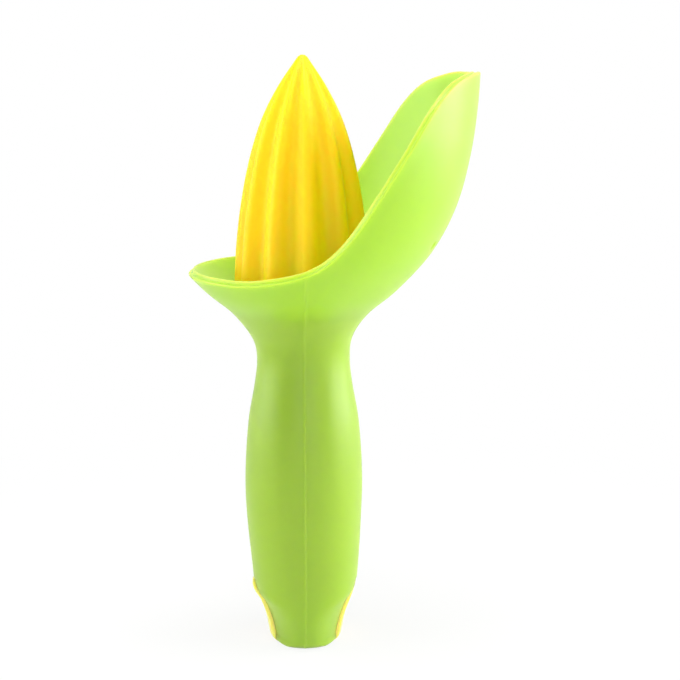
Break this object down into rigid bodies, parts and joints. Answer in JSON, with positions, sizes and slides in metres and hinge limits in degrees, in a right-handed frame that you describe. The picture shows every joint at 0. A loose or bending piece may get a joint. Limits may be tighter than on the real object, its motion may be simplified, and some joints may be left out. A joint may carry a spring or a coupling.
{
  "type": "hand citrus reamer with scoop",
  "caption": "Hand citrus reamer: a fluted cone stands in a shallow bowl whose back wall rises into a tall spray leaf, on a round waisted soft-skinned grip.",
  "frame": {"origin": "centre of the flat butt face, on the grip's axis", "axes": "+Z along the grip's axis, from the butt to the cone's tip; +X towards the tall leaf"},
  "size_m": [0.0916, 0.0924, 0.19],
  "materials": {
    "lime_soft_plastic": "satin",
    "yellow_core_plastic": "satin",
    "lemon_plastic": "satin"
  },
  "bodies": {
    "handle": {"scoop_body": "lime_soft_plastic", "grip_core": "yellow_core_plastic"},
    "head": {"reamer_cone": "lemon_plastic"}
  },
  "joints": [
    {"name": "head_lift", "type": "slide", "parent": "handle", "child": "head", "axis": [0, 0, 1], "range_m": [0, 0.045]}
  ]
}
